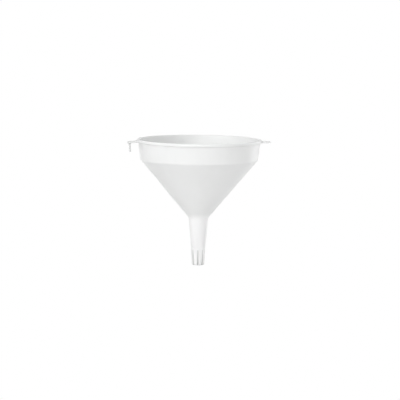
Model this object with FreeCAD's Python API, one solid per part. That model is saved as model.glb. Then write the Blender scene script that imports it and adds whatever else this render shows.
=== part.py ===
import FreeCAD, Part
import math
import os

# Filling funnel: one injection moulding in natural polypropylene, kept as its named sub-parts.
# Each sub-part is a closed solid, and neighbours share the whole face on which they meet.
#
# Frame, in millimetres: +Z runs up the funnel's axis, and the origin is the centre of the outlet.
# The hook, which grips the edge of a vessel, is on the -X side. The hanging tab is on the +X side.

# Heights of the three stretches of wall and of the lip
spout_length = 46.2
bowl_height = 56.4
collar_height = 16.3
lip_height = 3.0

# Diameters over the outside of the wall, at the corners where two stretches would meet
outlet_diameter = 10.4
neck_diameter = 19.0
bowl_diameter = 113.2

# How far the collar's top stands out beyond its foot, and the lip beyond the collar's top
collar_flare = 2.0
lip_overhang = 1.4

# Wall and its roundings, which are radii of the outer face
wall = 1.2
neck_bend = 4.0
bowl_bend = 3.5
lip_edge_round = 0.8

# Air ribs on the end of the spout: they keep the bottle's mouth open around it
rib_count = 8
rib_length = 16.0
rib_width = 1.4
rib_height_at_outlet = 0.6
rib_height_at_top = 0.2
# Degrees by which the first rib is turned from the front (-Y) towards the hook
rib_turn = 8.5

# Hanging tab, flush with the lip's underside
tab_reach = 9.2
tab_width = 12.0
tab_thickness = 1.2
tab_corner = 4.5
tab_hole_diameter = 4.5
tab_hole_to_tip = 4.6

# Hook: an arm that falls away from the lip, and a leg that hangs from it
arm_reach = 9.2
arm_width = 12.0
arm_thickness = 1.2
arm_corner = 2.0
arm_drop = 0.8
leg_width = 10.0
leg_height = 8.4
leg_thickness_at_top = 1.9
leg_thickness_at_foot = 1.5
leg_lean = 0.8
leg_to_arm_tip = 1.1
leg_corner = 2.5

# Radius of the flare where a plate's sides run into the lip
root_flare = 3.0

# Levels
neck_z = spout_length
bend_z = neck_z + bowl_height
lip_z = bend_z + collar_height
rim_z = lip_z + lip_height

# Radii of the outer face above the bowl
bowl_radius = bowl_diameter / 2
mouth_radius = bowl_radius + collar_flare
lip_radius = mouth_radius + lip_overhang

ORIGIN = FreeCAD.Vector(0, 0, 0)
UP = FreeCAD.Vector(0, 0, 1)

# How far a cutting or intersecting tool runs past what it cuts
OVERRUN = 5.0


def at(x, z):
    """A point in the XZ plane, where every section is drawn."""
    return FreeCAD.Vector(x, 0, z)


def face_of(edges):
    """The face inside a closed run of edges."""
    return Part.Face(Part.Wire(edges))


def polygon(points):
    """The face inside a polygon, given by its corners."""
    return Part.Face(Part.makePolygon(points + points[:1]))


def ring_of(section):
    """The solid that a face in the XZ plane sweeps in a full turn about the funnel's axis."""
    return section.revolve(ORIGIN, UP, 360)


def arc(start, middle, end):
    """The circular edge through three points."""
    return Part.Arc(start, middle, end).toShape()


def rounding(start, corner, end):
    """The quarter circle that rounds a square corner, from one tangent point to the other."""
    centre = start + end - corner
    middle = centre + (corner - centre) * math.sqrt(0.5)
    return arc(start, middle, end)


def line(start, end):
    """The straight edge between two points."""
    return Part.makeLine(start, end)


def inward_normal(start, end):
    """The unit normal, towards the axis, of a wall that rises from start to end."""
    along = (end - start).normalize()
    return at(-along.z, along.x)


class Station:
    """A place along the wall: a point on its outer face and the matching one on its inner face."""

    def __init__(self, outer, inner):
        self.outer = outer
        self.inner = inner


def square_station(outer, normal):
    """The wall cut square to its faces, at a point of the outer one."""
    return Station(outer, outer + normal * wall)


def level_station(start, end, height):
    """The wall that rises from start to end, cut off level at a height."""
    along = end - start
    inner_start = start + inward_normal(start, end) * wall
    outer = start + along * ((height - start.z) / along.z)
    inner = inner_start + along * ((height - inner_start.z) / along.z)
    return Station(outer, inner)


def bend_stations(before, corner, after, radius):
    """The start, middle and end of a bend that rounds a corner of the wall's outer line."""
    first = inward_normal(before, corner)
    last = inward_normal(corner, after)
    turn = first.getAngle(last)
    reach = radius * math.tan(turn / 2)
    start = corner + (before - corner).normalize() * reach
    end = corner + (after - corner).normalize() * reach
    bisector = (first + last).normalize()
    # The bend's centre lies on the side to which the wall turns: inwards or outwards
    turns_inwards = first.dot(after - corner) > 0
    to_centre = bisector if turns_inwards else -bisector
    centre = corner + to_centre * (radius / math.cos(turn / 2))
    middle = centre - to_centre * radius
    return [
        square_station(start, first),
        square_station(middle, bisector),
        square_station(end, last),
    ]


# The outer line of the wall, from the outlet to the underside of the lip
outlet_corner = at(outlet_diameter / 2, 0)
neck_corner = at(neck_diameter / 2, neck_z)
bowl_corner = at(bowl_radius, bend_z)
mouth_corner = at(mouth_radius, lip_z)

outlet = level_station(outlet_corner, neck_corner, 0)
neck = bend_stations(outlet_corner, neck_corner, bowl_corner, neck_bend)
shoulder = bend_stations(neck_corner, bowl_corner, mouth_corner, bowl_bend)
mouth = level_station(bowl_corner, mouth_corner, lip_z)
rim = level_station(bowl_corner, mouth_corner, rim_z)


def make_spout():
    """The tapered spout, from the outlet to the foot of the bowl."""
    top = neck[0]
    return ring_of(polygon([outlet.outer, top.outer, top.inner, outlet.inner]))


def make_bowl():
    """The conical bowl with the bend at its neck and the bend below the collar."""
    foot, neck_middle, cone_foot = neck
    cone_top, shoulder_middle, top = shoulder
    section = face_of(
        [
            arc(foot.outer, neck_middle.outer, cone_foot.outer),
            line(cone_foot.outer, cone_top.outer),
            arc(cone_top.outer, shoulder_middle.outer, top.outer),
            line(top.outer, top.inner),
            arc(top.inner, shoulder_middle.inner, cone_top.inner),
            line(cone_top.inner, cone_foot.inner),
            arc(cone_foot.inner, neck_middle.inner, foot.inner),
            line(foot.inner, foot.outer),
        ]
    )
    return ring_of(section)


def make_collar():
    """The splash collar, a band with a little draft, from the bowl to the lip."""
    foot = shoulder[2]
    return ring_of(polygon([foot.outer, mouth.outer, mouth.inner, foot.inner]))


def make_rim_lip():
    """The lip around the mouth, level on top and rounded at its outer edge."""
    under = at(lip_radius, lip_z)
    round_start = at(lip_radius, rim_z - lip_edge_round)
    round_end = at(lip_radius - lip_edge_round, rim_z)
    section = face_of(
        [
            line(mouth.inner, under),
            line(under, round_start),
            rounding(round_start, at(lip_radius, rim_z), round_end),
            line(round_end, rim.inner),
            line(rim.inner, mouth.inner),
        ]
    )
    return ring_of(section)


def spout_radius(height):
    """The radius of the spout's outer face at a height."""
    share = height / (neck_corner.z - outlet_corner.z)
    return outlet_corner.x + share * (neck_corner.x - outlet_corner.x)


def make_vent_ribs():
    """The ribs around the end of the spout, which stand proud at the outlet and fade out above."""
    core_height = rib_length + OVERRUN
    core = Part.makeCone(
        spout_radius(-OVERRUN),
        spout_radius(core_height),
        core_height + OVERRUN,
        at(0, -OVERRUN),
        UP,
    )
    fin = polygon(
        [
            at(0, 0),
            at(spout_radius(0) + rib_height_at_outlet, 0),
            at(spout_radius(rib_length) + rib_height_at_top, rib_length),
            at(0, rib_length),
        ]
    )
    fin.translate(FreeCAD.Vector(0, -rib_width / 2, 0))
    rib = fin.extrude(FreeCAD.Vector(0, rib_width, 0)).cut(core)
    ribs = []
    for index in range(rib_count):
        copy = rib.copy()
        copy.rotate(ORIGIN, UP, index * 360 / rib_count - 90 - rib_turn)
        ribs.extend(copy.Solids)
    return Part.makeCompound(ribs)


def plate_outline(reach, width, corner):
    """The plan of a plate on the +X side: its root follows the lip, and its sides flare into it."""
    half = width / 2
    tip_x = lip_radius + reach
    # The flare's circle touches the lip's circle from outside, and the plate's side
    flare_y = half + root_flare
    flare_x = math.sqrt((lip_radius + root_flare) ** 2 - flare_y**2)
    flare_centre = FreeCAD.Vector(flare_x, flare_y, 0)
    on_lip = flare_centre * (lip_radius / (lip_radius + root_flare))
    on_side = FreeCAD.Vector(flare_x, half, 0)
    outwards = ((on_lip + on_side) * 0.5 - flare_centre).normalize()
    flare_middle = flare_centre + outwards * root_flare
    side_end = FreeCAD.Vector(tip_x - corner, half, 0)
    tip_corner = FreeCAD.Vector(tip_x, half, 0)
    tip_start = FreeCAD.Vector(tip_x, half - corner, 0)

    def other(point):
        """The same point on the plate's other side."""
        return FreeCAD.Vector(point.x, -point.y, 0)

    return face_of(
        [
            arc(on_lip, flare_middle, on_side),
            line(on_side, side_end),
            rounding(side_end, tip_corner, tip_start),
            line(tip_start, other(tip_start)),
            rounding(other(tip_start), other(tip_corner), other(side_end)),
            line(other(side_end), other(on_side)),
            arc(other(on_side), other(flare_middle), other(on_lip)),
            arc(other(on_lip), FreeCAD.Vector(lip_radius, 0, 0), on_lip),
        ]
    )


def make_hang_tab():
    """The flat tab with a hole for a nail or peg."""
    plan = plate_outline(tab_reach, tab_width, tab_corner)
    plan.translate(at(0, lip_z))
    hole_x = lip_radius + tab_reach - tab_hole_to_tip
    hole = Part.makeCylinder(tab_hole_diameter / 2, tab_thickness, at(hole_x, lip_z), UP)
    return plan.extrude(at(0, tab_thickness)).cut(hole)


def arm_underside(x):
    """The height of the hook arm's lower face at a distance from the axis."""
    return lip_z - arm_drop * (x - lip_radius) / arm_reach


def to_hook_side(shape):
    """Turns a shape that was drawn on the +X side half way round, to the hook's side."""
    turned = shape.copy()
    turned.rotate(ORIGIN, UP, 180)
    return turned


def make_hook_arm():
    """The arm that carries the leg, sloping gently down from the lip."""
    plan = plate_outline(arm_reach, arm_width, arm_corner)
    plan.translate(at(0, lip_z - OVERRUN))
    column = plan.extrude(at(0, 2 * OVERRUN))
    root = lip_radius - root_flare
    tip = lip_radius + arm_reach + OVERRUN
    slab = polygon(
        [
            at(root, arm_underside(root)),
            at(tip, arm_underside(tip)),
            at(tip, arm_underside(tip) + arm_thickness),
            at(root, arm_underside(root) + arm_thickness),
        ]
    )
    slab.translate(FreeCAD.Vector(0, -arm_width, 0))
    return to_hook_side(column.common(slab.extrude(FreeCAD.Vector(0, 2 * arm_width, 0))))


def make_hook_leg():
    """The leg under the arm's end, thinner at its foot, leaning a little towards the funnel."""
    outer = lip_radius + arm_reach - leg_to_arm_tip
    inner = outer - leg_thickness_at_top
    foot_z = arm_underside(outer) - leg_height
    foot_centre = (outer + inner) / 2 - leg_lean
    profile = polygon(
        [
            at(inner, arm_underside(inner)),
            at(outer, arm_underside(outer)),
            at(foot_centre + leg_thickness_at_foot / 2, foot_z),
            at(foot_centre - leg_thickness_at_foot / 2, foot_z),
        ]
    )
    half = leg_width / 2
    profile.translate(FreeCAD.Vector(0, -half, 0))
    leg = profile.extrude(FreeCAD.Vector(0, leg_width, 0))

    def across(y, z):
        """A point of the leg's outline as seen along X."""
        return FreeCAD.Vector(inner - OVERRUN, y, z)

    top_z = lip_z + OVERRUN
    corner_z = foot_z + leg_corner
    corner_y = half - leg_corner
    outline = face_of(
        [
            line(across(-half, top_z), across(-half, corner_z)),
            rounding(across(-half, corner_z), across(-half, foot_z), across(-corner_y, foot_z)),
            line(across(-corner_y, foot_z), across(corner_y, foot_z)),
            rounding(across(corner_y, foot_z), across(half, foot_z), across(half, corner_z)),
            line(across(half, corner_z), across(half, top_z)),
            line(across(half, top_z), across(-half, top_z)),
        ]
    )
    block = outline.extrude(at(outer - inner + 2 * OVERRUN, 0))
    return to_hook_side(leg.common(block))


SUB_PARTS = {
    "spout": make_spout,
    "vent_ribs": make_vent_ribs,
    "bowl": make_bowl,
    "collar": make_collar,
    "rim_lip": make_rim_lip,
    "hang_tab": make_hang_tab,
    "hook_arm": make_hook_arm,
    "hook_leg": make_hook_leg,
}


def main():
    """Writes one STEP file for each sub-part."""
    os.makedirs("parts", exist_ok=True)
    for name, make in SUB_PARTS.items():
        shape = make()
        shape.exportStep(f"parts/{name}.step")
        volume = shape.Volume / 1000
        print(f"{name}: {len(shape.Solids)} solid(s), {volume:.2f} cm3, valid {shape.isValid()}")


main()
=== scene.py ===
# A filling funnel moulded in natural polypropylene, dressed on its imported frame.
import logging
import math
from dataclasses import dataclass, field
from enum import Enum

import bpy
import numpy as np
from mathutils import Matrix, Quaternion, Vector


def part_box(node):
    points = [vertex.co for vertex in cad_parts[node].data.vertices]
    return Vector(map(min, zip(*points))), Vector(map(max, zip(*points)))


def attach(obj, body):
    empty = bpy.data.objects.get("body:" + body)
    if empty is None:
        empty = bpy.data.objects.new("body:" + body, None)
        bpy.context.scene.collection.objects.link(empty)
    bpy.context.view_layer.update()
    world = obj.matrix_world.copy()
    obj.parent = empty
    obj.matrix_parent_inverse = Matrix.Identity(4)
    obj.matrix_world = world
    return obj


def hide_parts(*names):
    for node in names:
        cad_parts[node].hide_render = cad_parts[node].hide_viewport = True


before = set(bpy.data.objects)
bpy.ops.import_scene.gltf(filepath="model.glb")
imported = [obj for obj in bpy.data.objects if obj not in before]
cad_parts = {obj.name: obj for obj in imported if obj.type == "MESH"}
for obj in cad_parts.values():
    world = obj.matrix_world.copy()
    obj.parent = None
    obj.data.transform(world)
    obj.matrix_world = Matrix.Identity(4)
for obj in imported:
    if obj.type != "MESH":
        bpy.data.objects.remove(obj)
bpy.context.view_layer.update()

MM = 0.001
BODY = "root"
COURSE = "course"
PAINTED_SHADE = "painted_shade"
PAINTED_BACKLIGHT = "painted_backlight"
# Share of a step at which a guard point stands beside an arc
GUARD = 0.12

log = logging.getLogger("funnel")


# Surfaces


class Pole(Enum):
    """Which ends of a stack of rings close in a single point."""

    NONE = "a tube that closes on itself"
    BOTH = "a skin that closes at a point at each end"


@dataclass
class Skin:
    """A closed surface laid out as rings of points.

    Attributes:
        points: Array of shape (rings, columns, 3), in metres.
        course: Array of the same shape, the place of each point along the flow of the plastic.
        marks: Arrays (rings, columns) from 0 to 1, by the name of the attribute that each becomes.
        pole: How the stack of rings is closed.
    """

    points: np.ndarray
    course: np.ndarray
    marks: dict[str, np.ndarray]
    pole: Pole = Pole.NONE

    def quads(self) -> np.ndarray:
        """Joins the points (i, j), (i, j + 1), (i + 1, j + 1) and (i + 1, j), with j taken round.

        Returns:
            Array (n, 4) of point numbers. The rings close on themselves too where there is no pole.
        """
        rings, columns = self.points.shape[:2]
        spans = rings if self.pole is Pole.NONE else rings - 1
        i, j = np.meshgrid(np.arange(spans), np.arange(columns), indexing="ij")
        upper, right = (i + 1) % rings, (j + 1) % columns
        corners = [i * columns + j, i * columns + right, upper * columns + right, upper * columns + j]
        return np.stack(corners, axis=-1).reshape(-1, 4)

    def fans(self) -> np.ndarray:
        """The triangles between the first and last ring and their poles.

        Returns:
            Array (n, 3) of point numbers, empty where there is no pole.
        """
        if self.pole is Pole.NONE:
            return np.zeros((0, 3), int)
        rings, columns = self.points.shape[:2]
        j = np.arange(columns)
        right = (j + 1) % columns
        first_pole = np.full(columns, rings * columns)
        last = (rings - 1) * columns
        lower = np.stack([first_pole, right, j], axis=-1)
        upper = np.stack([first_pole + 1, last + j, last + right], axis=-1)
        return np.concatenate([lower, upper])

    def with_poles(self, values: np.ndarray) -> np.ndarray:
        """The ring values in one list, followed by each pole's, which is the mean of its ring."""
        flat = values.reshape(-1, *values.shape[2:])
        if self.pole is Pole.NONE:
            return flat
        return np.concatenate([flat, values[:1].mean(axis=1), values[-1:].mean(axis=1)])

    def to_object(self, name: str) -> bpy.types.Object:
        """Makes the Blender object, smooth shaded, with its attributes.

        Args:
            name: Name of the piece.

        Returns:
            The new object, at the origin, in the scene's collection.
        """
        mesh = bpy.data.meshes.new(name)
        faces = self.quads().tolist() + self.fans().tolist()
        mesh.from_pydata(self.with_poles(self.points), [], faces)
        mesh.polygons.foreach_set("use_smooth", np.ones(len(faces), bool))
        course = mesh.attributes.new(COURSE, "FLOAT_VECTOR", "POINT")
        course.data.foreach_set("vector", self.with_poles(self.course).ravel())
        for label, values in self.marks.items():
            mark = mesh.attributes.new(label, "FLOAT", "POINT")
            mark.data.foreach_set("value", self.with_poles(values).ravel())
        mesh.validate()
        mesh.update()
        piece = bpy.data.objects.new(name, mesh)
        bpy.context.scene.collection.objects.link(piece)
        return piece


@dataclass(frozen=True)
class Corner:
    """A corner of a closed outline.

    Attributes:
        x: First coordinate, in metres.
        y: Second coordinate, in metres.
        radius: Radius of the arc that rounds it, 0 where the outline runs straight through.
        pitch: Spacing of the points on the leg that follows it, in metres.
    """

    x: float
    y: float
    radius: float
    pitch: float


def left_normal(vectors: np.ndarray) -> np.ndarray:
    """The vectors along the last axis, each turned a quarter turn to the left."""
    return np.stack([-vectors[..., 1], vectors[..., 0]], axis=-1)


def unit(vectors: np.ndarray) -> np.ndarray:
    """The vectors along the last axis, each with length 1."""
    return vectors / np.linalg.norm(vectors, axis=-1, keepdims=True)


def corner_arc(before: np.ndarray, corner: Corner, after: np.ndarray, steps: int) -> np.ndarray:
    """The arc that rounds a corner, tangent to both legs.

    With d1 and d2 the directions of the legs and a the turn between them, the arc starts
    radius * tan(a / 2) before the corner, and its centre is one radius to the inner side. The points are
    centre + radius * (sin(t) * d1 - cos(t) * inner side of d1) for t from 0 to a.

    Args:
        before: The corner before.
        corner: The corner to round.
        after: The corner after.
        steps: Number of chords in the arc.

    Returns:
        Array (steps + 1, 2), or one point where the corner has no radius.
    """
    place = np.array([corner.x, corner.y])
    first, second = unit(place - before), unit(after - place)
    turn = math.atan2(first[0] * second[1] - first[1] * second[0], float(first @ second))
    if corner.radius == 0 or abs(turn) < 1e-6:
        return place[None]
    inner = left_normal(first) * math.copysign(1, turn)
    start = place - first * corner.radius * math.tan(abs(turn) / 2)
    centre = start + inner * corner.radius
    t = np.linspace(0, abs(turn), steps + 1)[:, None]
    return centre + corner.radius * (np.sin(t) * first - np.cos(t) * inner)


def rounded_outline(corners: list[Corner], steps: int) -> np.ndarray:
    """A closed outline with arcs at its corners and evenly spaced points on its legs.

    Args:
        corners: The corners in order.
        steps: Number of chords in each arc.

    Returns:
        Array (n, 2) of points. The last one joins the first.
    """
    places = [np.array([c.x, c.y]) for c in corners]
    count = len(corners)
    arcs = [
        corner_arc(places[k - 1], corners[k], places[(k + 1) % count], steps) for k in range(count)
    ]
    runs = []
    for k, arc in enumerate(arcs):
        start, end = arc[-1], arcs[(k + 1) % count][0]
        parts = max(2, round(np.linalg.norm(end - start) / corners[k].pitch))
        # A point close to each end keeps the shading of the flat and of the arc apart
        shares = np.linspace(0, 1, parts + 1)[1:-1]
        shares = np.unique(np.concatenate([[GUARD / parts], shares, [1 - GUARD / parts]]))
        runs += [arc, start + shares[:, None] * (end - start)]
    return np.concatenate(runs)


def stacked(*coordinates: np.ndarray) -> np.ndarray:
    """The coordinates, spread to one shape, side by side in a last axis."""
    return np.stack(np.broadcast_arrays(*coordinates), axis=-1)


def smooth_step(value: np.ndarray, low: float, high: float) -> np.ndarray:
    """Runs from 0 at low to 1 at high with level ends: 3 t^2 - 2 t^3, where t is the clamped share."""
    t = np.clip((value - low) / (high - low), 0, 1)
    return t * t * (3 - 2 * t)


# The moulding


@dataclass
class FunnelShell:
    """The moulded wall in one closed skin: spout with its air ribs, bowl, collar and lip.

    Radii are those of the outer face, at the corners where two stretches of wall would meet.

    Attributes:
        outlet_radius, neck_radius, bowl_radius: Radii at the outlet, the neck and under the collar.
        neck_level, bend_level: Levels of the neck and of the bend under the collar.
        wall: Thickness of the wall.
        neck_bend, bowl_bend: Radii of the bends at the neck and under the collar.
        lip_round, lip_under_round, lip_root_round: Radii at the lip's top, underside and root.
        rim_inner_round, outlet_round: Radii at the mouth's inner edge and at the outlet.
        rib_count: Number of ribs.
        rib_turn: Angle of the first rib from the front towards the hook, in radians.
        rib_width, rib_flank: Width of a rib, and of the slope at each of its sides.
        rib_height_low, rib_height_high: Height of a rib at the outlet and at its top.
        rib_fade: Length over which a rib's top runs out.
        outlet_edge: Length above the outlet on which shade is painted.
        columns, arc_steps: Number of columns round the axis, and of chords in each arc.
        spout_face: Shares of the wall, from the inner face, between which a rib's rise sets in.
        backlight_radii: Radii, in neck radii, between which the painted light from behind fades out.
        mouth_radius, lip_radius: Radii of the collar's top and of the lip, from the frame.
        lip_level, rim_level, rib_top: Levels of the lip's underside, rim and ribs' end, from the frame.
    """

    outlet_radius: float = 5.2 * MM
    neck_radius: float = 9.5 * MM
    neck_level: float = 46.2 * MM
    bowl_radius: float = 56.6 * MM
    bend_level: float = 102.6 * MM
    wall: float = 1.2 * MM
    neck_bend: float = 4.0 * MM
    bowl_bend: float = 3.5 * MM
    lip_round: float = 0.4 * MM
    lip_under_round: float = 1.2 * MM
    lip_root_round: float = 0.15 * MM
    rim_inner_round: float = 0.4 * MM
    outlet_round: float = 0.3 * MM
    rib_count: int = 8
    rib_turn: float = math.radians(8.5)
    rib_width: float = 1.4 * MM
    rib_flank: float = 0.35 * MM
    rib_height_low: float = 0.6 * MM
    rib_height_high: float = 0.2 * MM
    rib_fade: float = 1.6 * MM
    outlet_edge: float = 1.0 * MM
    columns: int = 288
    arc_steps: int = 7
    spout_face: tuple[float, float] = (0.25, 0.95)
    backlight_radii: tuple[float, float] = (0.9, 1.5)
    mouth_radius: float = field(init=False)
    lip_radius: float = field(init=False)
    lip_level: float = field(init=False)
    rim_level: float = field(init=False)
    rib_top: float = field(init=False)

    def __post_init__(self) -> None:
        """Takes the mouth, the lip and the length of the ribs from the frame."""
        self.mouth_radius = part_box("collar")[1].x
        low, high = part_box("rim_lip")
        self.lip_radius, self.lip_level, self.rim_level = high.x, low.z, high.z
        self.rib_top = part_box("vent_ribs")[1].z

    def outer_line(self) -> np.ndarray:
        """The corners of the outer face from the outlet to the rim's level."""
        collar = (self.mouth_radius - self.bowl_radius) / (self.lip_level - self.bend_level)
        rim_radius = self.bowl_radius + collar * (self.rim_level - self.bend_level)
        return np.array(
            [
                [self.outlet_radius, 0.0],
                [self.neck_radius, self.neck_level],
                [self.bowl_radius, self.bend_level],
                [rim_radius, self.rim_level],
            ]
        )

    def inner_line(self) -> np.ndarray:
        """The corners of the inner face, one wall inside the outer one.

        Each leg is moved towards the axis by the wall, square to itself. Neighbouring legs are crossed
        with each other, and the end legs with the outlet's and the rim's levels.
        """
        line = self.outer_line()
        directions = unit(np.diff(line, axis=0))
        starts = line[:-1] + self.wall * left_normal(directions)
        ends = [starts[k] + directions[k] * (line[k, 1] - starts[k, 1]) / directions[k, 1] for k in (0, -1)]
        crossings = []
        for k in range(len(starts) - 1):
            both = np.stack([directions[k], -directions[k + 1]], axis=1)
            lengths = np.linalg.solve(both, starts[k + 1] - starts[k])
            crossings.append(starts[k] + directions[k] * lengths[0])
        return np.array([ends[0], *crossings, ends[1]])

    def spout_radius(self, level: np.ndarray) -> np.ndarray:
        """The radius of the spout's outer face, which grows evenly from the outlet to the neck."""
        return self.outlet_radius + level / self.neck_level * (self.neck_radius - self.outlet_radius)

    def section(self) -> np.ndarray:
        """The closed section of the wall, up the outer face, over the lip and down the inner face.

        Returns:
            Array (n, 2) of radius and level.
        """
        inner = self.inner_line()
        ribs_end = self.rib_top + self.rib_fade
        corners = [
            Corner(self.outlet_radius, 0, self.outlet_round, 0.55 * MM),
            Corner(float(self.spout_radius(ribs_end)), ribs_end, 0, 1.5 * MM),
            Corner(self.neck_radius, self.neck_level, self.neck_bend, 1.8 * MM),
            Corner(self.bowl_radius, self.bend_level, self.bowl_bend, 1.4 * MM),
            Corner(self.mouth_radius, self.lip_level, self.lip_root_round, 0.6 * MM),
            Corner(self.lip_radius, self.lip_level, self.lip_under_round, 0.8 * MM),
            Corner(self.lip_radius, self.rim_level, self.lip_round, 0.6 * MM),
            Corner(*inner[3], self.rim_inner_round, 1.4 * MM),
            Corner(*inner[2], self.bowl_bend - self.wall, 1.8 * MM),
            Corner(*inner[1], self.neck_bend + self.wall, 1.8 * MM),
            Corner(*inner[0], self.outlet_round, 0.4 * MM),
        ]
        return rounded_outline(corners, self.arc_steps)

    def rib_height(self, angle: np.ndarray, level: np.ndarray) -> np.ndarray:
        """How far the ribs stand out from the spout at an angle and a level.

        Across a rib the height is a smooth step of the distance from its middle plane, radius * sin(angle
        from the middle). Up the spout it falls evenly from the outlet to the ribs' end, where it fades out.

        Args:
            angle: Angles round the axis, one column each, from the +X direction.
            level: Levels, one row each.

        Returns:
            Array (rows, columns) of heights, in metres.
        """
        pitch = 2 * math.pi / self.rib_count
        # The first rib stands at the front, turned a little towards the hook
        first = -math.pi / 2 - self.rib_turn
        from_middle = np.mod(angle - first + pitch / 2, pitch) - pitch / 2
        aside = np.abs(self.spout_radius(level)[:, None] * np.sin(from_middle)[None])
        half = self.rib_width / 2
        across = 1 - smooth_step(aside, half - self.rib_flank / 2, half + self.rib_flank / 2)
        share = np.clip(level / self.rib_top, 0, 1)
        up = self.rib_height_low + share * (self.rib_height_high - self.rib_height_low)
        up = up * (1 - smooth_step(level, self.rib_top - self.rib_fade, self.rib_top))
        return up[:, None] * across

    def skin(self) -> Skin:
        """The section turned about the axis, with the ribs raised on the spout's outer face.

        A point of ring i and column j is (r cos a, r sin a, z), where r is the section's radius plus the
        rib's height times the share of the way from the inner to the outer face.
        """
        section = self.section()
        radius, level = section[:, 0], section[:, 1]
        angle = np.arange(self.columns) * 2 * math.pi / self.columns
        inner_radius = self.inner_line()[0, 0]
        depth = (radius - inner_radius) / (self.spout_radius(level) - inner_radius)
        outside = smooth_step(depth, *self.spout_face)
        outside = np.where(level > self.neck_level, 0, outside)
        rise = self.rib_height(angle, level) * outside[:, None]
        reach = radius[:, None] + rise
        points = stacked(reach * np.cos(angle), reach * np.sin(angle), level[:, None])
        steps = np.linalg.norm(np.diff(section, axis=0, prepend=section[-1:]), axis=1)
        course = stacked(np.cos(angle), np.sin(angle), np.cumsum(steps)[:, None])
        painted_backlight = np.broadcast_to(self.painted_backlight(radius)[:, None], reach.shape)
        return Skin(points, course, {PAINTED_SHADE: self.painted_shade(level, rise), PAINTED_BACKLIGHT: painted_backlight})

    def painted_shade(self, level: np.ndarray, rise: np.ndarray) -> np.ndarray:
        """Painted shade: only the ribs and the outlet's edge are darkened, not the wall.

        Args:
            level: Level of each ring.
            rise: Array (rings, columns), how far each point is raised by a rib.

        Returns:
            Array (rings, columns) from 0 to 1.
        """
        # Painted shade: the ribs and the last bit of the outlet are darkened in colour, in place of the
        # shade that falls on them
        in_ribs = rise / self.rib_height_low
        at_outlet = 1 - smooth_step(level, 0.0, self.outlet_edge)
        return np.maximum(in_ribs, at_outlet[:, None])

    def painted_backlight(self, radius: np.ndarray) -> np.ndarray:
        """Painted light, as if lit through from behind: all of it in the narrow spout, none in the bowl."""
        start, end = self.backlight_radii
        return 1 - smooth_step(radius, start * self.neck_radius, end * self.neck_radius)

    def build(self) -> bpy.types.Object:
        """Makes the shell and lets it stand for the five nodes of the wall."""
        piece = self.skin().to_object("funnel_shell")
        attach(piece, BODY)
        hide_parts("spout", "vent_ribs", "bowl", "collar", "rim_lip")
        return piece


@dataclass(frozen=True)
class PlatePlan:
    """The plan of a plate that grows out of the lip towards +X, its sides flaring into the lip.

    Attributes:
        lip_radius: Outer radius of the lip.
        tip: Distance of the plate's tip from the axis.
        width: Width between the parallel sides.
        corner: Radius of the corners at the tip.
        root_flare: Radius of the flares beside the root.
        root_sink: How far inside the lip's face the flares' circles touch it.
        flare_cut: Angle by which a flare starts past that touch, inside the lip, in radians.
        root_depth: How far the root reaches into the lip.
        arc_steps: Number of chords in each arc.
        side_steps: Number of steps in each straight run.
    """

    lip_radius: float
    tip: float
    width: float
    corner: float
    root_flare: float = 3.0 * MM
    root_sink: float = 1.2 * MM
    flare_cut: float = math.radians(40)
    root_depth: float = 1.35 * MM
    arc_steps: int = 10
    side_steps: int = 7

    def arc(self, x: float, y: float, radius: float, start: float, end: float) -> np.ndarray:
        """Points at even angles from start to end on the circle about (x, y)."""
        t = np.linspace(start, end, self.arc_steps + 1)
        return np.stack([x + radius * np.cos(t), y + radius * np.sin(t)], axis=1)

    def outline(self) -> np.ndarray:
        """The outline, from the middle of the root along its -Y side, round the tip and back.

        A flare's centre lies one flare radius outside the plate's side and outside a circle that is sunk
        into the lip. Its arc would touch both, but starts a little later, so that every point of the
        outline faces the plate's middle. The root is an arc about the axis. Straight runs are divided
        evenly, and the +Y half is the mirror image of the -Y half.

        Returns:
            Array (n, 2) of points, anticlockwise.
        """
        half = self.width / 2
        flare_y = -half - self.root_flare
        flare_x = math.sqrt((self.lip_radius - self.root_sink + self.root_flare) ** 2 - flare_y**2)
        towards_axis = math.atan2(-flare_y, -flare_x)
        straight = self.tip - self.corner
        shares = np.linspace(0, 1, self.side_steps + 1)[1:-1, None]
        flare = self.arc(flare_x, flare_y, self.root_flare, towards_axis - self.flare_cut, math.pi / 2)
        spread = math.atan2(flare[0, 1], flare[0, 0])
        root = self.arc(0, 0, self.lip_radius - self.root_depth, 0, spread)
        corner = self.arc(straight, self.corner - half, self.corner, -math.pi / 2, 0)
        side = flare[-1] + shares * (corner[0] - flare[-1])
        middle = np.array([self.tip, 0.0])
        end = corner[-1] + shares * (middle - corner[-1])
        lower = np.concatenate([root, flare, side, corner, end])
        upper = lower[1:][::-1] * [1, -1]
        return np.concatenate([lower, [middle], upper])


def outward_normals(outline: np.ndarray) -> np.ndarray:
    """The normals of an anticlockwise outline, each square to the chord between its neighbours."""
    return -left_normal(unit(np.roll(outline, -1, axis=0) - np.roll(outline, 1, axis=0)))


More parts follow.
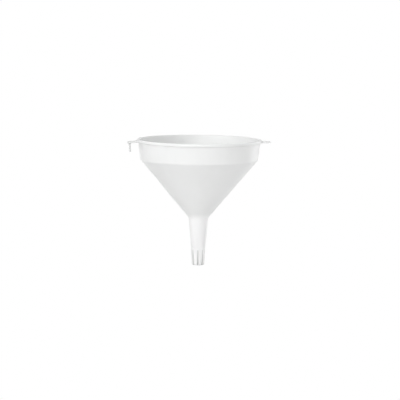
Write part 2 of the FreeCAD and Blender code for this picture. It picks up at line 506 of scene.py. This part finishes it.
@dataclass(frozen=True)
class PlateSection:
    """How a plate's skin runs between its middle and its outline.

    Attributes:
        bottom: Level of the lower face above the lip's underside.
        top: Level of the upper face above the lip's underside.
        edge: Radius of the rounded edges.
        hole: Radius of the hole, 0 where the plate is whole.
        middle: Distance of the hole's centre, or of the plate's middle, from the axis.
        lip_radius: Outer radius of the lip, inside which the skin's edges aren't inset.
        edge_fade: Distance outside the lip over which the inset grows to its full size.
        edge_steps: Number of chords in each rounding.
        face_steps: Number of rings on each face.
        guard: Share of the way at which a ring stands beside each rounding.
        evenness: Share by which the rays from the middle are drawn to even angles.
    """

    bottom: float
    top: float
    edge: float
    hole: float
    middle: float
    lip_radius: float
    edge_fade: float = 1.5 * MM
    edge_steps: int = 5
    face_steps: int = 6
    guard: float = 0.04
    evenness: float = 0.2

    def skin(self, outline: np.ndarray) -> tuple[np.ndarray, np.ndarray, Pole]:
        """Rings that run out under the plate, up its edge, in over its top and down the hole.

        A ring lies at a share of the way from the hole's circle to the outline. On a rounding of radius e
        the ring's inset is e (1 - sin t) and its distance from the face is e (1 - cos t), with t from 0 at
        the face to 90 degrees at the edge. The inset along the outline fades out towards the lip, where
        the outline runs almost along the rays, so that no face folds over its neighbour.

        Args:
            outline: Array (columns, 2), anticlockwise.

        Returns:
            The plan points (rings, columns, 2), the levels (rings,), and how the skin closes.
        """
        t = np.linspace(0, math.pi / 2, self.edge_steps + 1)
        inset, depth = self.edge * (1 - np.sin(t)), self.edge * (1 - np.cos(t))
        face = np.linspace(0, 1, self.face_steps + 1)[1:-1]
        # Rings close to the roundings keep the faces flat in the shading
        face = np.concatenate([[self.guard], face, [1 - self.guard]])
        share = [face, np.ones_like(t), np.ones_like(t), face[::-1]]
        inner = [np.full_like(face, self.edge), inset, inset[::-1], np.full_like(face, self.edge)]
        level = [
            np.full_like(face, self.bottom),
            self.bottom + depth,
            self.top - depth[::-1],
            np.full_like(face, self.top),
        ]
        if self.hole:
            share = [np.zeros_like(t), *share, np.zeros_like(t)]
            inner = [inset[::-1], *inner, inset]
            level = [self.bottom + depth[::-1], *level, self.top - depth]
        share, inner, level = (np.concatenate(part) for part in (share, inner, level))
        centre = np.array([self.middle, 0.0])
        away = outline - centre
        heading = np.unwrap(np.arctan2(away[:, 1], away[:, 0]))
        even = np.linspace(heading[0], heading[0] + 2 * math.pi, len(heading), endpoint=False)
        heading = (1 - self.evenness) * heading + self.evenness * even
        ray = np.stack([np.cos(heading), np.sin(heading)], axis=1)
        from_hole = self.hole + inner if self.hole else np.zeros_like(inner)
        near = centre + from_hole[:, None, None] * ray
        reach = np.linalg.norm(outline, axis=1)
        outside = smooth_step(reach, self.lip_radius, self.lip_radius + self.edge_fade)[:, None]
        far = outline - inner[:, None, None] * (outside * outward_normals(outline))
        plan = near + share[:, None, None] * (far - near)
        return plan, level, Pole.NONE if self.hole else Pole.BOTH


def half_turn(points: np.ndarray) -> np.ndarray:
    """The points turned half way round the funnel's axis, from the +X side to the -X side."""
    return points * [-1, -1, 1]


def ear_skin(points: np.ndarray, pole: Pole, painted_shade: float) -> Skin:
    """The skin of a small solid part beside the lip, whose plastic flows straight out along X, with an even
    share of painted shade and no painted light.
    """
    rings = points.shape[:2]
    return Skin(points, points / MM / 10, {PAINTED_SHADE: np.full(rings, painted_shade), PAINTED_BACKLIGHT: np.zeros(rings)}, pole)


@dataclass
class HangTab:
    """The flat tab on the +X side, with a round hole for a nail or peg.

    Attributes:
        width, corner, thickness: Width, radius of the tip's corners, and thickness.
        hole_radius, hole_to_tip: Radius of the hole, and distance of its centre from the tip.
        edge_round: Radius of the rounded edges.
        lift: Height of the lower face above the lip's underside.
        painted_shade: Share of painted shade, from 0 to 1.
    """

    width: float = 12.0 * MM
    corner: float = 4.5 * MM
    thickness: float = 1.2 * MM
    hole_radius: float = 2.25 * MM
    hole_to_tip: float = 4.6 * MM
    edge_round: float = 0.25 * MM
    lift: float = 0.03 * MM
    painted_shade: float = 0.0

    def skin(self) -> Skin:
        """The tab's closed skin, flush with the lip's underside but for a hair's breadth."""
        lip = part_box("rim_lip")
        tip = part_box("hang_tab")[1].x
        outline = PlatePlan(lip[1].x, tip, self.width, self.corner).outline()
        middle = tip - self.hole_to_tip
        section = PlateSection(
            self.lift, self.thickness, self.edge_round, self.hole_radius, middle, lip[1].x
        )
        plan, level, pole = section.skin(outline)
        points = stacked(plan[..., 0], plan[..., 1], lip[0].z + level[:, None])
        return ear_skin(points, pole, self.painted_shade)

    def build(self) -> bpy.types.Object:
        """Makes the tab and lets it stand for its node."""
        piece = self.skin().to_object("hang_tab_moulding")
        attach(piece, BODY)
        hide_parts("hang_tab")
        return piece


def rounded_rectangles(
    half_x: np.ndarray, half_y: np.ndarray, radius: np.ndarray, arc_steps: int, side_steps: int
) -> np.ndarray:
    """Rings in the shape of a rectangle with round corners, centred on the origin.

    Each quarter is an arc of the corner's radius about (half_x - radius, half_y - radius) with the
    quarter's signs. Straight sides join the end of one arc to the start of the next.

    Args:
        half_x: Half the size along X, one value for each ring.
        half_y: Half the size along Y, one value for each ring.
        radius: Corner radius, one value for each ring.
        arc_steps: Number of chords in each arc.
        side_steps: Number of chords in each side.

    Returns:
        Array (rings, columns, 2), anticlockwise.
    """
    t = np.linspace(0, math.pi / 2, arc_steps + 1) + np.arange(4)[:, None] * math.pi / 2
    signs = np.array([[1, 1], [-1, 1], [-1, -1], [1, -1]])
    reach = np.stack([half_x - radius, half_y - radius], axis=-1)
    arcs = reach[:, None, None] * signs[None, :, None]
    arcs = arcs + radius[:, None, None, None] * np.stack([np.cos(t), np.sin(t)], axis=-1)
    shares = np.linspace(0, 1, side_steps + 1)[1:-1, None]
    start, end = arcs[:, :, -1:], np.roll(arcs, -1, axis=1)[:, :, :1]
    sides = start + shares * (end - start)
    return np.concatenate([arcs, sides], axis=2).reshape(len(half_x), -1, 2)


@dataclass
class Hook:
    """The hook on the -X side: an arm that falls away from the lip, and a leg that hangs from it.

    Attributes:
        arm_width, arm_corner, arm_thickness: Width, radius of the tip's corners, and thickness.
        arm_drop: How far the arm falls from the lip to its tip.
        edge_round: Radius of the arm's rounded edges.
        leg_top_thickness, leg_foot_thickness: Thickness of the leg at the arm and at its foot.
        leg_lean: How far the leg's middle runs outwards from the foot up to the arm.
        leg_corner, leg_edge: Radii of the foot's corners and of the leg's edges.
        leg_root_round, leg_root_depth: Radius of the fillet at the arm, and reach into the arm.
        leg_rings, leg_arc_steps, leg_side_steps: Number of rings, and of chords in its arcs and sides.
        leg_foot_shares: Sizes of the rings that close the foot, as shares of its flat.
        leg_fullest: Largest corner radius of a ring, as a share of its smaller half.
        painted_shade: Share of painted shade that darkens the hook, from 0 to 1.
    """

    arm_width: float = 12.0 * MM
    arm_corner: float = 2.0 * MM
    arm_thickness: float = 1.2 * MM
    arm_drop: float = 0.8 * MM
    edge_round: float = 0.25 * MM
    leg_top_thickness: float = 1.9 * MM
    leg_foot_thickness: float = 1.5 * MM
    leg_lean: float = 0.8 * MM
    leg_corner: float = 2.5 * MM
    leg_edge: float = 0.4 * MM
    leg_root_round: float = 0.6 * MM
    leg_root_depth: float = 0.5 * MM
    leg_rings: int = 24
    leg_arc_steps: int = 5
    leg_side_steps: int = 8
    leg_foot_shares: tuple[float, ...] = (0.15, 0.55, 0.92)
    leg_fullest: float = 0.9
    # Painted shade that darkens the whole hook
    painted_shade: float = 0.4

    def underside(self, x: np.ndarray) -> np.ndarray:
        """The level of the arm's lower face, which falls evenly from the lip to the tip."""
        lip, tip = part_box("rim_lip"), -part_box("hook_arm")[0].x
        return lip[0].z - self.arm_drop * (x - lip[1].x) / (tip - lip[1].x)

    def arm_skin(self) -> Skin:
        """The arm: a whole plate, each point lifted to the level of the sloping underside."""
        tip = -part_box("hook_arm")[0].x
        lip_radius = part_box("rim_lip")[1].x
        outline = PlatePlan(lip_radius, tip, self.arm_width, self.arm_corner).outline()
        middle = (tip + lip_radius) / 2
        section = PlateSection(0.0, self.arm_thickness, self.edge_round, 0.0, middle, lip_radius)
        plan, level, pole = section.skin(outline)
        height = self.underside(plan[..., 0]) + level[:, None]
        points = stacked(plan[..., 0], plan[..., 1], height)
        return ear_skin(half_turn(points), pole, self.painted_shade)

    def leg_skin(self) -> Skin:
        """The leg: round-cornered rectangles stacked from the foot up into the arm.

        Up the leg the thickness grows evenly and the middle moves outwards evenly. With h the height
        above the foot and R the foot's corner radius, the half width is less by
        R - sqrt(R^2 - (R - h)^2) while h < R. Close to the arm both halves grow by
        F (1 - sqrt(1 - u^2)), a fillet of radius F, where u runs from 0 to 1. The foot is rounded and
        closes in rings that shrink to a point.
        """
        low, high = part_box("hook_leg")
        outer, foot, half_width = -low.x, low.z, high.y
        top_middle = outer - self.leg_top_thickness / 2
        top = float(self.underside(np.array(top_middle)))
        length = top - foot
        closing = len(self.leg_foot_shares)
        t = np.linspace(0, math.pi / 2, self.leg_arc_steps + 1)
        run = np.linspace(self.leg_edge, length - self.leg_root_round, self.leg_rings)[1:]
        fillet = np.sin(t[1:])
        height = np.concatenate(
            [
                np.zeros(closing),
                self.leg_edge * (1 - np.cos(t)),
                run,
                length - self.leg_root_round * (1 - fillet),
                [length + self.leg_root_depth],
            ]
        )
        count = len(height)
        inset = np.zeros(count)
        inset[:closing] = self.leg_edge
        inset[closing : closing + len(t)] = self.leg_edge * (1 - np.sin(t))
        shrink = np.ones(count)
        shrink[:closing] = self.leg_foot_shares
        flare = np.zeros(count)
        flare[-len(fillet) - 1 : -1] = self.leg_root_round * (1 - np.sqrt(1 - fillet**2))
        flare[-1] = flare[-2]
        share = np.clip(height / length, 0, 1)
        thickness = self.leg_foot_thickness + share * (self.leg_top_thickness - self.leg_foot_thickness)
        below = np.clip(self.leg_corner - height, 0, None)
        cut = self.leg_corner - np.sqrt(self.leg_corner**2 - below**2)
        half_x = (thickness / 2 - inset) * shrink + flare
        half_y = (half_width - cut - inset) * shrink + flare
        radius = np.minimum(self.leg_edge, self.leg_fullest * np.minimum(half_x, half_y))
        plan = rounded_rectangles(half_x, half_y, radius, self.leg_arc_steps, self.leg_side_steps)
        middle = top_middle - self.leg_lean * (1 - share)
        plan = plan + np.stack([middle, np.zeros(count)], axis=1)[:, None]
        tilt = self.underside(plan[..., 0]) - self.underside(middle)[:, None]
        level = foot + height[:, None] + tilt * share[:, None]
        points = stacked(plan[..., 0], plan[..., 1], level)
        return ear_skin(half_turn(points), Pole.BOTH, self.painted_shade)

    def build(self) -> list[bpy.types.Object]:
        """Makes the arm and the leg, and lets each stand for its node."""
        pieces = []
        for node, skin in (("hook_arm", self.arm_skin()), ("hook_leg", self.leg_skin())):
            piece = skin.to_object(f"{node}_moulding")
            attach(piece, BODY)
            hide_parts(node)
            pieces.append(piece)
        return pieces


# Finishes

Colour = tuple[float, float, float]


class NodeSheet:
    """A node tree that is filled node by node."""

    def __init__(self, tree: bpy.types.NodeTree) -> None:
        """Clears the tree."""
        self.tree = tree
        tree.nodes.clear()

    def add(self, kind: str, inputs: dict | None = None, **settings: object) -> bpy.types.Node:
        """Adds a node, sets its properties, and feeds or sets its inputs.

        Args:
            kind: Type name of the node.
            inputs: For each input's name or number, the socket that feeds it or its constant value.
            **settings: Properties of the node.

        Returns:
            The new node.
        """
        node = self.tree.nodes.new(kind)
        for name, value in settings.items():
            setattr(node, name, value)
        for key, value in (inputs or {}).items():
            if isinstance(value, bpy.types.NodeSocket):
                self.tree.links.new(value, node.inputs[key])
            else:
                node.inputs[key].default_value = value
        return node

    def maths(self, operation: str, *values: object, clamp: bool = False) -> bpy.types.NodeSocket:
        """The result of a maths node on sockets or numbers."""
        node = self.add("ShaderNodeMath", dict(enumerate(values)), operation=operation, use_clamp=clamp)
        return node.outputs[0]

    def remap(
        self, value: object, low: float, high: float, start: float, end: float
    ) -> bpy.types.NodeSocket:
        """Maps the range from low to high onto start to end, clamped."""
        inputs = {"Value": value, "From Min": low, "From Max": high, "To Min": start, "To Max": end}
        return self.add("ShaderNodeMapRange", inputs).outputs["Result"]

    def noise(self, place: object, scale: object, detail: float) -> bpy.types.NodeSocket:
        """A noise from 0 to 1."""
        inputs = {"Vector": place, "Scale": scale, "Detail": detail}
        return self.add("ShaderNodeTexNoise", inputs).outputs["Fac"]

    def mix(self, share: object, first: object, second: object) -> bpy.types.NodeSocket:
        """A colour a share of the way from the first to the second."""
        return self.add("ShaderNodeMix", {0: share, 6: first, 7: second}, data_type="RGBA").outputs[2]

    def group(self, name: str, inputs: dict) -> bpy.types.NodeSocket:
        """The first output of a shared group."""
        return self.add("ShaderNodeGroup", inputs, node_tree=bpy.data.node_groups[name]).outputs[0]


def new_group(name: str, inputs: dict[str, object], output: str) -> NodeSheet:
    """Starts a shader node group.

    Args:
        name: Name of the group.
        inputs: Default value of each input: a number, or None for a vector.
        output: Name of its one output, a value.

    Returns:
        The empty sheet of the group.
    """
    tree = bpy.data.node_groups.new(name, "ShaderNodeTree")
    for label, value in inputs.items():
        kind = "NodeSocketVector" if value is None else "NodeSocketFloat"
        socket = tree.interface.new_socket(label, in_out="INPUT", socket_type=kind)
        if value is not None:
            socket.default_value = value
    tree.interface.new_socket(output, in_out="OUTPUT", socket_type="NodeSocketFloat")
    return NodeSheet(tree)


def cloud_group() -> None:
    """Soft patches where the plastic is milkier: two sizes of noise, the finer at a third of the weight."""
    sheet = new_group("milky_clouds", {"Place": None, "Scale": 30.0}, "Mask")
    entry = sheet.add("NodeGroupInput")
    wide = sheet.noise(entry.outputs["Place"], entry.outputs["Scale"], 2.0)
    finer = sheet.maths("MULTIPLY", entry.outputs["Scale"], 4.3)
    fine = sheet.noise(entry.outputs["Place"], finer, 3.0)
    both = sheet.maths("MULTIPLY_ADD", fine, 0.33, wide)
    sheet.add("NodeGroupOutput", {"Mask": sheet.remap(both, 0.4, 1.0, 0.0, 1.0)})


def flow_group() -> None:
    """Faint streaks along the flow of the plastic: noise that changes fast across it, slowly along."""
    sheet = new_group("flow_streaks", {"Course": None, "Across": 9.0, "Along": 14.0}, "Height")
    entry = sheet.add("NodeGroupInput")
    across = sheet.add(
        "ShaderNodeCombineXYZ",
        {"X": entry.outputs["Across"], "Y": entry.outputs["Across"], "Z": entry.outputs["Along"]},
    )
    stretched = sheet.add(
        "ShaderNodeVectorMath", {0: entry.outputs["Course"], 1: across.outputs[0]}, operation="MULTIPLY"
    )
    noise = sheet.noise(stretched.outputs[0], 1.0, 2.0)
    sheet.add("NodeGroupOutput", {"Height": sheet.remap(noise, 0.2, 0.8, 0.0, 1.0)})


def scuff_group() -> None:
    """Fine rubbing marks: the soft peaks of a noise drawn out upwards, only where a wider noise is high."""
    sheet = new_group("rubbing_marks", {"Place": None, "Scale": 520.0}, "Mask")
    entry = sheet.add("NodeGroupInput")
    stretch = sheet.add("ShaderNodeMapping", {"Vector": entry.outputs["Place"], "Scale": (1.0, 1.0, 0.12)})
    dashes = sheet.noise(stretch.outputs[0], entry.outputs["Scale"], 1.0)
    soft = sheet.remap(dashes, 0.5, 0.75, 0.0, 1.0)
    wide = sheet.noise(entry.outputs["Place"], 38.0, 1.0)
    where = sheet.remap(wide, 0.35, 0.75, 0.0, 1.0)
    sheet.add("NodeGroupOutput", {"Mask": sheet.maths("MULTIPLY", soft, where)})


@dataclass(frozen=True)
class NaturalPlastic:
    """Milky, translucent polypropylene as it comes out of the mould.

    Attributes:
        name: Name of the material.
        clear: Colour where the plastic is clearer.
        milky: Colour where it is milkier.
        shade_colour: Colour of the painted shade on the ribs, the outlet's edge and the hook.
        backlight_colour: Colour of the painted light, where the spout looks lit through from behind.
        roughness: Roughness of the smooth face.
        scatter: How far light travels in the plastic between two turns, in metres.
        flow_height: Height of the flow streaks, in metres.
        flow_strength: Strength of their bump.
        cloud_rough, scuff_rough: How much rougher milky patches and rubbing marks are.
    """

    name: str
    clear: Colour = (0.80, 0.805, 0.802)
    milky: Colour = (0.84, 0.845, 0.84)
    shade_colour: Colour = (0.42, 0.425, 0.42)
    backlight_colour: Colour = (0.965, 0.97, 0.965)
    roughness: float = 0.28
    scatter: float = 2.0 * MM
    flow_height: float = 0.02 * MM
    flow_strength: float = 0.4
    cloud_rough: float = 0.05
    scuff_rough: float = 0.1

    def material(self) -> bpy.types.Material:
        """The material: tinted by clouds, with painted shade and painted light from the marks, flow streaks
        and rubbing marks.
        """
        material = bpy.data.materials.new(self.name)
        material.use_nodes = True
        sheet = NodeSheet(material.node_tree)
        place = sheet.add("ShaderNodeTexCoord").outputs["Object"]
        course = sheet.add("ShaderNodeAttribute", attribute_name=COURSE).outputs["Vector"]
        painted_shade = sheet.add("ShaderNodeAttribute", attribute_name=PAINTED_SHADE).outputs["Fac"]
        painted_backlight = sheet.add("ShaderNodeAttribute", attribute_name=PAINTED_BACKLIGHT).outputs["Fac"]
        clouds = sheet.group("milky_clouds", {"Place": place, "Scale": 30.0})
        streaks = sheet.group("flow_streaks", {"Course": course})
        scuffs = sheet.group("rubbing_marks", {"Place": place})
        body = sheet.mix(clouds, (*self.clear, 1), (*self.milky, 1))
        # Painted light: the spout is made lighter, as if light came through it from behind
        body = sheet.mix(painted_backlight, body, (*self.backlight_colour, 1))
        # Painted shade: a darker colour on the ribs, the outlet's edge and the hook
        tint = sheet.mix(painted_shade, body, (*self.shade_colour, 1))
        rough = sheet.maths("MULTIPLY_ADD", clouds, self.cloud_rough, self.roughness)
        rough = sheet.maths("MULTIPLY_ADD", scuffs, self.scuff_rough, rough)
        bump = sheet.add(
            "ShaderNodeBump",
            {"Strength": self.flow_strength, "Distance": self.flow_height, "Height": streaks},
        )
        shader = sheet.add(
            "ShaderNodeBsdfPrincipled",
            {
                "Base Color": tint,
                "Roughness": rough,
                "Normal": bump.outputs["Normal"],
                "IOR": 1.5,
                "Subsurface Weight": 1.0,
                "Subsurface Radius": (1.0, 1.0, 1.0),
                "Subsurface Scale": self.scatter,
            },
        )
        sheet.add("ShaderNodeOutputMaterial", {"Surface": shader.outputs[0]})
        return material


@dataclass(frozen=True)
class StudioFloor:
    """A plain pale floor, which takes the funnel's shade below it and is white further out.

    Attributes:
        level: Level of the floor.
        size: Half the length of a side.
        colour: Colour of the floor.
        lift: Light added for camera and mirror rays, so that the unshaded floor shows white.
        near: Distance from the axis up to which the floor takes shade.
        far: Distance from which it is plain white.
    """

    level: float = -0.30
    size: float = 6.0
    colour: Colour = (0.88, 0.88, 0.88)
    lift: float = 0.35
    near: float = 0.3
    far: float = 0.55

    def build(self) -> None:
        """Makes the floor."""
        corners = np.array([[-1, -1, 0], [1, -1, 0], [1, 1, 0], [-1, 1, 0]]) * self.size
        mesh = bpy.data.meshes.new("studio_floor")
        mesh.from_pydata(corners + [0, 0, self.level], [], [(0, 1, 2, 3)])
        floor = bpy.data.objects.new("studio_floor", mesh)
        bpy.context.scene.collection.objects.link(floor)
        mesh.materials.append(self.material())

    def material(self) -> bpy.types.Material:
        """Matt pale paint, with a white light of its own for camera, mirror and clear rays only.

        From below the floor is clear.
        """
        material = bpy.data.materials.new("pale_floor")
        material.use_nodes = True
        sheet = NodeSheet(material.node_tree)
        place = sheet.add("ShaderNodeTexCoord").outputs["Object"]
        flat = sheet.add("ShaderNodeVectorMath", {0: place, 1: (1, 1, 0)}, operation="MULTIPLY")
        reach = sheet.add("ShaderNodeVectorMath", {0: flat.outputs[0]}, operation="LENGTH").outputs["Value"]
        outside = sheet.remap(reach, self.near, self.far, 0.0, 1.0)
        paint = sheet.add("ShaderNodeBsdfDiffuse", {"Color": (*self.colour, 1)})
        lit = sheet.add("ShaderNodeEmission", {"Color": (1, 1, 1, 1), "Strength": self.lift})
        shaded = sheet.add("ShaderNodeAddShader", {0: paint.outputs[0], 1: lit.outputs[0]})
        white = sheet.add("ShaderNodeEmission", {"Color": (1, 1, 1, 1), "Strength": 1.0})
        seen = sheet.add("ShaderNodeMixShader", {0: outside, 1: shaded.outputs[0], 2: white.outputs[0]})
        top = sheet.add(
            "ShaderNodeMixShader", {0: direct_rays(sheet), 1: paint.outputs[0], 2: seen.outputs[0]}
        )
        below = sheet.add("ShaderNodeNewGeometry").outputs["Backfacing"]
        clear = sheet.add("ShaderNodeBsdfTransparent")
        final = sheet.add("ShaderNodeMixShader", {0: below, 1: top.outputs[0], 2: clear.outputs[0]})
        sheet.add("ShaderNodeOutputMaterial", {"Surface": final.outputs[0]})
        return material


def direct_rays(sheet: NodeSheet) -> bpy.types.NodeSocket:
    """1 for a ray from the camera, off a mirror or through clear plastic, and 0 for any other."""
    path = sheet.add("ShaderNodeLightPath")
    first = sheet.maths("MAXIMUM", path.outputs["Is Camera Ray"], path.outputs["Is Glossy Ray"])
    return sheet.maths("MAXIMUM", first, path.outputs["Is Transmission Ray"])


# Studio


def direction(azimuth: float, elevation: float) -> Vector:
    """The unit vector to a place so many degrees round the axis and above the level of the aim.

    Args:
        azimuth: Degrees round the axis, 0 in front and negative to the left.
        elevation: Degrees above the level.

    Returns:
        (sin a cos e, -cos a cos e, sin e), with a the azimuth and e the elevation.
    """
    a, e = math.radians(azimuth), math.radians(elevation)
    return Vector((math.sin(a) * math.cos(e), -math.cos(a) * math.cos(e), math.sin(e)))


@dataclass(frozen=True)
class Softbox:
    """A square or oblong soft lamp that faces the funnel, and that the camera doesn't see.

    Attributes:
        name: Name of the lamp.
        azimuth: Degrees round the axis, 0 in front and negative to the left.
        elevation: Degrees above the level of the aim.
        distance: Distance from the aim, in metres.
        width: Width, in metres.
        height: Height, in metres.
        radiance: How bright its face is, where a white wall in plain light is 1.
    """

    name: str
    azimuth: float
    elevation: float
    distance: float
    width: float
    height: float
    radiance: float

    def build(self, aim: Vector) -> None:
        """Hangs the lamp and turns it to the aim; its power is pi * area * radiance."""
        back = direction(self.azimuth, self.elevation)
        lamp = bpy.data.lights.new(self.name, "AREA")
        lamp.shape = "RECTANGLE"
        lamp.size, lamp.size_y = self.width, self.height
        lamp.energy = math.pi * self.width * self.height * self.radiance
        holder = bpy.data.objects.new(self.name, lamp)
        holder.location = aim + back * self.distance
        holder.rotation_mode = "QUATERNION"
        holder.rotation_quaternion = (-back).to_track_quat("-Z", "Y")
        holder.visible_camera = False
        bpy.context.scene.collection.objects.link(holder)


@dataclass(frozen=True)
class Studio:
    """The camera, the lamps, the floor and the even light from all round.

    Attributes:
        ambient: Strength of the even light, where 1 lights a white wall white.
        azimuth: Degrees of the camera round the axis, negative to the left.
        elevation: Degrees of the camera above the horizon.
        roll: Degrees by which the funnel's top leans to the right.
        distance: Distance of the camera from its aim.
        lens: Focal length for a sensor 36 mm wide, in millimetres.
        aim: The place that the camera and the lamps face.
        lamps: The soft lamps.
    """

    ambient: float = 0.4
    azimuth: float = -4.5
    elevation: float = 7.1
    roll: float = 0.65
    distance: float = 1.27
    lens: float = 118.2
    aim: tuple[float, float, float] = (1.25 * MM, 0.0, 63.15 * MM)
    lamps: tuple[Softbox, ...] = (
        Softbox("key", -30.0, 24.0, 1.3, 1.8, 1.1, 2.1),
        Softbox("high_key", -40.0, 50.0, 1.5, 1.6, 0.7, 0.8),
        Softbox("rim", 120.0, 0.0, 1.2, 0.9, 0.9, 1.37),
        Softbox("low_fill", 55.0, -20.0, 0.7, 0.6, 0.17, 1.5),
    )

    def light(self) -> None:
        """Hangs the lamps and sets the even light, which camera, mirror and clear rays see as white."""
        for lamp in self.lamps:
            lamp.build(Vector(self.aim))
        world = bpy.data.worlds.new("studio")
        world.use_nodes = True
        sheet = NodeSheet(world.node_tree)
        strength = sheet.remap(direct_rays(sheet), 0.0, 1.0, self.ambient, 1.0)
        back = sheet.add("ShaderNodeBackground", {"Color": (1, 1, 1, 1), "Strength": strength})
        sheet.add("ShaderNodeOutputWorld", {"Surface": back.outputs[0]})
        bpy.context.scene.world = world

    def camera(self) -> None:
        """Places the camera in front of the funnel, looking a little down on it."""
        back = direction(self.azimuth, self.elevation)
        lens = bpy.data.cameras.new("camera")
        lens.lens, lens.sensor_width = self.lens, 36.0
        lens.clip_start, lens.clip_end = 0.05, 30.0
        holder = bpy.data.objects.new("camera", lens)
        holder.location = Vector(self.aim) + back * self.distance
        holder.rotation_mode = "QUATERNION"
        roll = Quaternion((0, 0, 1), math.radians(self.roll))
        holder.rotation_quaternion = (-back).to_track_quat("-Z", "Y") @ roll
        bpy.context.scene.collection.objects.link(holder)
        bpy.context.scene.camera = holder

    def build(self) -> None:
        """Sets up the whole studio."""
        self.camera()
        self.light()
        StudioFloor().build()
        bpy.context.scene.view_settings.view_transform = "Standard"


def dress(pieces: list[bpy.types.Object], material: bpy.types.Material) -> None:
    """Gives the pieces their material."""
    for piece in pieces:
        piece.data.materials.clear()
        piece.data.materials.append(material)


def report(piece: bpy.types.Object) -> None:
    """Logs a piece's size and its number of faces."""
    low, high = (Vector(v) for v in (piece.bound_box[0], piece.bound_box[6]))
    size = " x ".join(f"{v / MM:.1f}" for v in high - low)
    log.info("%s: %s mm, %d faces", piece.name, size, len(piece.data.polygons))


def main() -> None:
    """Builds the studio and the funnel, piece by piece."""
    logging.basicConfig(level=logging.INFO, format="%(name)s: %(message)s")
    Studio().build()
    for make in (cloud_group, flow_group, scuff_group):
        make()
    plastic = NaturalPlastic("natural_polypropylene").material()
    pieces = [FunnelShell().build(), HangTab().build(), *Hook().build()]
    dress(pieces, plastic)
    for piece in pieces:
        report(piece)


if __name__ == "__main__":
    main()
